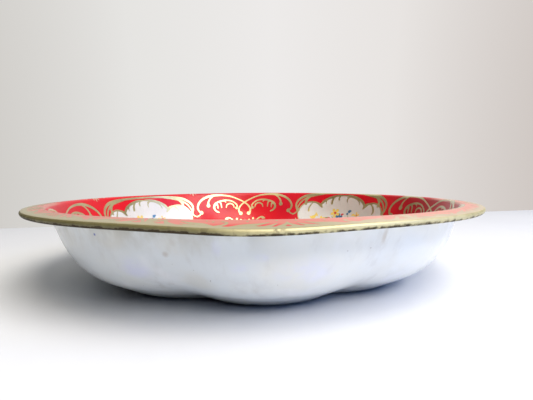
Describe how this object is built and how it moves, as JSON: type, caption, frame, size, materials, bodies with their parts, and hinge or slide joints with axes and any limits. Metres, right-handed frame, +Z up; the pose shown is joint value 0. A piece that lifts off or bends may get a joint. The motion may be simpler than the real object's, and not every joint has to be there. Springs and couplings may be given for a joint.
{
  "type": "scalloped tin bowl",
  "caption": "Shallow round bowl of pressed and printed tinplate, with a scalloped lower wall, a flat flange and a rolled, wired rim.",
  "frame": {"origin": "middle of the base, on the surface that the bowl stands on", "axes": "+Z up along the bowl's axis, -Y towards the front, which is the crown of one lobe"},
  "size_m": [0.254, 0.254, 0.0416],
  "materials": {
    "enamelled_tin": "gloss stove enamel over tinplate",
    "printed_red": "gloss printed ink under varnish",
    "printed_gold": "gloss gold ink under varnish",
    "printed_white": "gloss printed ink under varnish",
    "printed_green": "gloss printed ink under varnish",
    "printed_blue": "gloss printed ink under varnish",
    "printed_yellow": "gloss printed ink under varnish",
    "printed_rose": "gloss printed ink under varnish",
    "steel_wire": "drawn wire"
  },
  "bodies": {
    "root": {"bowl_shell": "enamelled_tin", "rim_wire": "steel_wire"}
  },
  "joints": []
}
